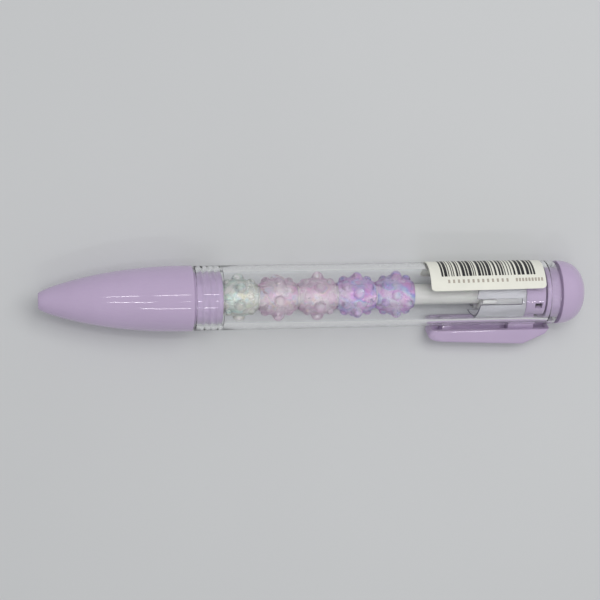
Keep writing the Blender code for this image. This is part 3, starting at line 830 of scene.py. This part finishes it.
def build_beads():
    draw = random.Random(11)
    for index in range(BEAD_COUNT):
        front, rear = span(f"bead_{index + 1}")
        middle = (front + rear) / 2
        half = (rear - front) / 2
        phase = draw.uniform(0, 2 * math.pi / BUMPS_ROUND)
        bumps = bumps_of_bead(draw)
        stations = 76
        turns = [math.pi * step / stations for step in range(stations + 1)]
        outline = [(middle - half * math.cos(turn), BEAD_BODY) for turn in turns]
        outline += rounded([(middle + half, BEAD_RIM), (middle + half, BEAD_HOLE, 0.25),
                            (middle - half, BEAD_HOLE, 0.25), (middle - half, BEAD_RIM)], closed=False)[1:-1]

        def shaped(x, radius, angle, middle=middle, phase=phase, bumps=bumps):
            if radius < BEAD_BODY - 0.01:
                return radius
            return bumpy_radius(bumps, x - middle, angle + phase)

        mesh = lathe("bead", outline, 160, shaped)
        bead = to_object(f"pearl_bead_{index + 1}", mesh, BEAD_MATERIALS[index], 50)
        slot = "bead_violet" if index > 2 else "bead_clear"
        attach(bead, f"bead_body_{index + 1}", slot, f"bead_{index + 1}")


# ---------------------------------------------------------------- clip


def clip_outline():
    """The clip from the side: bulging free end, sloping outer face, chamfered rear end."""
    end, rear = span("clip")
    bulge = [(end + 0.9, CLIP_RIM), (end + 0.25, 11.6, 0.8), (end, 12.4, 1.0), (end + 0.6, 13.5, 1.2),
             (end + 2.2, 14.2, 1.5), (end + 4.6, CLIP_TOP_FREE, 2.0)]
    rest = [(CLIP_CHAMFER, CLIP_TOP_REAR, 3.0), (rear - 1.1, 12.3, 1.2), (rear, CLIP_RIM)]
    return rounded(bulge + rest, closed=False, steps=5)


def build_clip():
    """The open channel with its grip bump, the lug in the barrel's slot and the neck to the thruster."""
    free_end, rear_end = span("clip")
    mesh = prism(clip_outline(), CLIP_HALF_WIDTH)
    weights = mesh.attributes.new("bevel_weight_edge", "FLOAT", "EDGE")
    for edge in mesh.edges:
        first, second = (mesh.vertices[index].co for index in edge.vertices)
        if abs(first.z - second.z) < 0.1 and min(first.y, second.y) < -(CLIP_RIM + 0.05):
            at_free_end = max(first.x, second.x) < free_end + 4.0
            weights.data[edge.index].value = 1.0 if at_free_end else CLIP_SIDE_WEIGHT
    helper = bpy.data.objects.new("clip_body", mesh)
    bpy.context.scene.collection.objects.link(helper)
    bevel = helper.modifiers.new("Bevel", "BEVEL")
    bevel.width = CLIP_EDGE_ROUNDING
    bevel.segments = 6
    bevel.limit_method = "WEIGHT"
    bevel.use_clamp_overlap = False
    body = evaluated_mesh(helper)
    floor = CLIP_TOP_FREE - CLIP_FLOOR
    front, rear = free_end + 1.4, rear_end - CLIP_WALL
    channel = rounded([(front, CLIP_RIM - 1), (front, CLIP_RIM + 1.5, 0.6), (front + 1.4, floor, 1.0),
                       (CLIP_CHAMFER - 0.4, floor + 0.9, 1.0), (rear, 10.9, 0.3), (rear, CLIP_RIM - 1)])
    grip = rounded([(117.3, floor + 0.5), (118.2, GRIP_TIP, 0.3),
                    (120.4, GRIP_TIP, 0.3), (121.4, floor + 0.5)])
    lug = rounded([(LUG[0], floor + 1), (LUG[1], floor + 1), (LUG[1], LUG_TIP, 0.2), (LUG[0], LUG_TIP, 0.2)])
    neck = [(NECK[0], 8), (NECK[1], 8), (NECK[1], NECK_TIP), (NECK[0], NECK_TIP)]
    mesh = combined(body, [
        ("DIFFERENCE", prism(channel, CLIP_HALF_WIDTH - CLIP_WALL)),
        ("UNION", prism(grip, GRIP_HALF_WIDTH)),
        ("UNION", prism(lug, LUG_HALF_WIDTH)),
        ("UNION", prism(neck, NECK_HALF_WIDTH)),
    ])
    clip = to_object("pocket_clip", bevelled(mesh, 0.09, 2, 50), MATERIALS["lavender"], 30)
    attach(clip, "clip_carriage", "lavender_plastic", "clip")


# ---------------------------------------------------------------- label


def bar_edges(front, rear):
    """Alternating bar and gap edges of a made-up bar pattern, as distances along the pen."""
    draw = random.Random(7)
    edges = [front]
    module = (rear - front) / 95
    while edges[-1] < rear - 4 * module:
        edges.append(edges[-1] + module * draw.choice((1, 2, 2, 3)))
        edges.append(edges[-1] + module * draw.choice((1, 1, 1, 2, 2)))
    edges.append(rear)
    return edges


def build_label():
    """A strip wrapped on the barrel, with its printed bars as faces of their own."""
    front, rear = span("barcode_sticker")
    bars = bar_edges(front + 3.3, rear - 2.9)
    marks = [front + 5.0 + 1.45 * index for index in range(13)]
    marks += [front + 25.2 + 0.95 * index for index in range(9)]
    corner = STICKER_CORNER
    base = BARREL_RADIUS + STICKER_GAP
    start = clip_angle(-STICKER_LOW_ANGLE)
    bar_start = math.radians(33.5) - STICKER_LOW_ANGLE
    bar_end = STICKER_ARC - math.radians(10)
    mark_start = math.radians(20.5) - STICKER_LOW_ANGLE
    mark_end = math.radians(27.0) - STICKER_LOW_ANGLE
    fixed = [bar_start, bar_end, mark_start, mark_end]
    angles = sorted(set([STICKER_ARC * step / 56 for step in range(57)] + fixed))
    angles = [a for i, a in enumerate(angles) if a in fixed or all(abs(a - f) > 0.004 for f in fixed)]
    mark_width = 0.62
    stations = [front + corner * step / 4 for step in range(5)]
    stations += bars + [x for mark in marks for x in (mark, mark + mark_width)]
    stations += [rear - corner * step / 4 for step in range(5)]
    stations = sorted(stations)
    stations = [x for i, x in enumerate(stations) if i == 0 or x - stations[i - 1] > 0.02]
    solid = bmesh.new()
    grid = []
    for angle in angles:
        edge = min(angle, STICKER_ARC - angle) * base
        inset = corner - math.sqrt(max(0, corner**2 - (corner - edge) ** 2)) if edge < corner else 0
        row = []
        for x in stations:
            placed = min(max(x, front + inset), rear - inset)
            skew = STICKER_SKEW * (rear - placed) / (rear - front)
            turn = start - skew + angle
            row.append(solid.verts.new((placed, -base * math.cos(turn), base * math.sin(turn))))
        grid.append(row)
    for i in range(len(angles) - 1):
        for j in range(len(stations) - 1):
            quad = (grid[i][j], grid[i][j + 1], grid[i + 1][j + 1], grid[i + 1][j])
            middle = (stations[j] + stations[j + 1]) / 2
            along = (angles[i] + angles[i + 1]) / 2
            face = solid.faces.new(quad)
            if bar_start < along < bar_end and bars[0] < middle < bars[-1]:
                passed = sum(1 for edge in bars if edge < middle)
                face.material_index = passed % 2
            if mark_start < along < mark_end and any(m < middle < m + mark_width for m in marks):
                face.material_index = 2
    bmesh.ops.remove_doubles(solid, verts=solid.verts, dist=0.0005)
    mesh = bpy.data.meshes.new("label")
    solid.to_mesh(mesh)
    solid.free()
    helper = bpy.data.objects.new("label_sheet", mesh)
    bpy.context.scene.collection.objects.link(helper)
    finish = [MATERIALS[name] for name in ("paper", "print", "faint_print")]
    for material in finish:
        mesh.materials.append(material)
    thicken = helper.modifiers.new("Solidify", "SOLIDIFY")
    thicken.thickness = STICKER_THICKNESS
    thicken.offset = 1
    mesh = evaluated_mesh(helper)
    indices = [polygon.material_index for polygon in mesh.polygons]
    label = to_object("bar_label", mesh, finish)
    for polygon, index in zip(label.data.polygons, indices):
        polygon.material_index = index
    attach(label, "barrel_body", "sticker_paper", "barcode_sticker")


# ---------------------------------------------------------------- floor, camera and lights

# Angles in radians, distances in metres from the pen's front end and axis
CAMERA_TILT = math.radians(9.5)
CAMERA_ROLL = math.radians(1.04)
CAMERA_HEIGHT = 0.5423
CAMERA_X_BEHIND = 0.0156
CAMERA_Y_BELOW = 0.00104
FOCAL_SHARE = 1900 / 600


def build_camera():
    """A camera above the nose's end that leans along the pen, rolled a little."""
    camera = bpy.data.objects.new("camera", bpy.data.cameras.new("camera"))
    bpy.context.scene.collection.objects.link(camera)
    camera.data.lens = camera.data.sensor_width * FOCAL_SHARE
    right = Vector((math.cos(CAMERA_TILT), 0, math.sin(CAMERA_TILT)))
    up = Vector((0, 1, 0))
    turned_right = right * math.cos(CAMERA_ROLL) - up * math.sin(CAMERA_ROLL)
    turned_up = up * math.cos(CAMERA_ROLL) + right * math.sin(CAMERA_ROLL)
    back = turned_right.cross(turned_up)
    place = Vector((FRONT_X - CAMERA_X_BEHIND, AXIS_Y - CAMERA_Y_BELOW, AXIS_Z + CAMERA_HEIGHT))
    matrix = Matrix((turned_right, turned_up, back)).transposed().to_4x4()
    matrix.translation = place
    camera.matrix_world = matrix
    camera.data.clip_end = 20
    bpy.context.scene.camera = camera


def build_floor():
    solid = bmesh.new()
    bmesh.ops.create_grid(solid, x_segments=60, y_segments=60, size=1.6)
    mesh = bpy.data.meshes.new("floor")
    solid.to_mesh(mesh)
    solid.free()
    made = Shader("floor_paper")
    clouds = made.noise(9, 3)
    tint = made.ramp(clouds, [(0.3, (0.655, 0.668, 0.678)), (0.7, (0.67, 0.684, 0.694))])
    made.set(Base_Color=tint, Roughness=made.remap(made.noise(60, 3), 0.75, 0.9), Specular_IOR_Level=0.2)
    made.set(Normal=made.bump(made.noise(1500, 3), 0.05, 0.00005))
    mesh.materials.append(made.material)
    floor = bpy.data.objects.new("floor", mesh)
    bpy.context.scene.collection.objects.link(floor)
    floor.location.z = CAD_BOX[0].z - 0.0001


def area_light(name, place, size, size_y, energy):
    """A rectangle light. It isn't seen through clear plastic, which lets its shadow rays pass instead."""
    data = bpy.data.lights.new(name, "AREA")
    data.shape = "RECTANGLE"
    data.size = size
    data.size_y = size_y
    data.energy = energy
    light = bpy.data.objects.new(name, data)
    light.location = place
    light.visible_transmission = False
    bpy.context.scene.collection.objects.link(light)
    return light


# Strip lights far above the pen: tilt from the vertical in degrees, then the start and end in metres
STRIP_LIGHTS = ((-11.5, -0.61, -0.27), (-11.5, -0.10, 0.205), (11.5, -0.585, -0.126),
                (11.5, 0.155, 0.205), (35.0, -0.233, 0.205), (35.0, 0.64, 0.76))
STRIP_DISTANCE = 2.0
STRIP_WIDTH = 0.06
STRIP_POWER_PER_AREA = 49.0
KEY_PLACE = Vector((0.13, 0.12, 0.5))
KEY_AIM = Vector((0.08, 0.0, 0.0))
KEY_POWER = 0.99
SKY_STRENGTH = 0.455


def build_lights():
    key = area_light("key", KEY_PLACE, 0.4, 0.3, KEY_POWER)
    key.data.color = (1.0, 0.99, 0.98)
    key.rotation_euler = (KEY_AIM - KEY_PLACE).to_track_quat("-Z", "Y").to_euler()
    key.visible_glossy = False
    for index, (degrees, start, end) in enumerate(STRIP_LIGHTS):
        angle = math.radians(degrees)
        across = AXIS_Y - STRIP_DISTANCE * math.sin(angle)
        place = ((start + end) / 2, across, AXIS_Z + STRIP_DISTANCE * math.cos(angle))
        power = STRIP_POWER_PER_AREA * STRIP_WIDTH * (end - start)
        strip = area_light(f"strip_{index + 1}", place, end - start, STRIP_WIDTH, power)
        strip.rotation_euler = (angle, 0, 0)
    build_sky()


def build_sky():
    """An even pale room, a little dimmer and cooler towards the ground."""
    world = bpy.data.worlds.new("soft_room")
    world.use_nodes = True
    tree = world.node_tree
    background = tree.nodes["Background"]
    direction = tree.nodes.new("ShaderNodeTexCoord").outputs["Generated"]
    height = tree.nodes.new("ShaderNodeSeparateXYZ")
    tree.links.new(direction, height.inputs[0])
    sky = tree.nodes.new("ShaderNodeValToRGB")
    tree.links.new(height.outputs["Z"], sky.inputs["Fac"])
    sky.color_ramp.elements[0].color = (0.86, 0.875, 0.90, 1)
    sky.color_ramp.elements[1].color = (1.0, 1.0, 1.0, 1)
    tree.links.new(sky.outputs["Color"], background.inputs["Color"])
    background.inputs["Strength"].default_value = SKY_STRENGTH
    scene = bpy.context.scene
    scene.world = world
    scene.view_settings.view_transform = "Standard"
    world.cycles.sampling_method = "NONE"
    scene.cycles.max_bounces = 24
    scene.cycles.transmission_bounces = 24
    scene.cycles.transparent_max_bounces = 32


build_camera()
build_floor()
build_lights()
build_nose()
build_barrel()
build_end_plug()
build_cam_sleeve()
build_cam_rotor()
build_thruster()
build_refill()
build_tip()
build_spring()
build_beads()
build_clip()
build_label()
